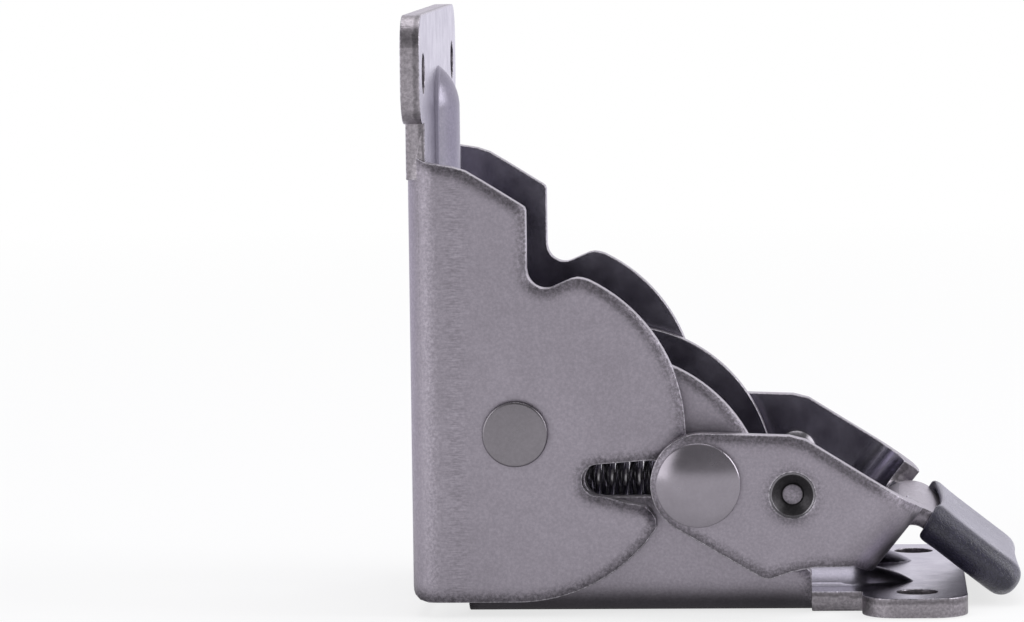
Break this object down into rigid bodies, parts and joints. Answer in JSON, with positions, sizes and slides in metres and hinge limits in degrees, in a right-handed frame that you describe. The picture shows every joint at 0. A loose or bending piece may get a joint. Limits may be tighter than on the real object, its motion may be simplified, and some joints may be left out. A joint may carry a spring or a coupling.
{
  "type": "folding table leg bracket",
  "caption": "Folding table leg bracket: pressed steel channels hinged together, with a sprung cross pin that locks the leg and a gripped handle that frees it.",
  "frame": {"origin": "on the table face of the inner bracket, midway across and straight below the hinge axis", "axes": "+X along the inner bracket towards the handle, +Y across the bracket along the hinge axis, +Z away from the table and up along the open leg"},
  "size_m": [0.0854, 0.0676, 0.0841],
  "materials": {
    "bracket_steel": "satin black-nickel plating over pressed sheet steel",
    "rivet_steel": "smooth satin black-nickel plating",
    "washer_steel": "dull plated",
    "pin_steel": "polished black-nickel plating",
    "dark_washer": "dull black",
    "grip_rubber": "fine leather-like grain",
    "stud_steel": "dark plated",
    "spring_steel": "glossy black oxide"
  },
  "bodies": {
    "base": {"inner_bracket": "bracket_steel", "hinge_rivet_front": "rivet_steel", "hinge_rivet_rear": "rivet_steel", "spacer_washer_front": "washer_steel", "spacer_washer_rear": "washer_steel", "spring_front": "spring_steel", "spring_rear": "spring_steel"},
    "leg": {"leg_bracket": "bracket_steel"},
    "pin": {"lock_pin": "pin_steel", "pin_washer": "dark_washer"},
    "handle": {"handle_yoke": "bracket_steel", "handle_grip": "grip_rubber", "cam_stud_front": "stud_steel", "cam_stud_rear": "stud_steel"}
  },
  "joints": [
    {"name": "leg_fold", "type": "hinge", "parent": "base", "child": "leg", "pos_m": [0, 0, 0.0257], "axis": [0, 1, 0], "range_deg": [0, 94]},
    {"name": "pin_slide", "type": "slide", "parent": "base", "child": "pin", "axis": [1, 0, 0], "range_m": [-0.0018, 0.0023], "deforming": ["spring_front", "spring_rear"]},
    {"name": "handle_lift", "type": "hinge", "parent": "pin", "child": "handle", "pos_m": [0.0255, 0, 0.01885], "axis": [0, -1, 0], "range_deg": [0, 24]}
  ]
}
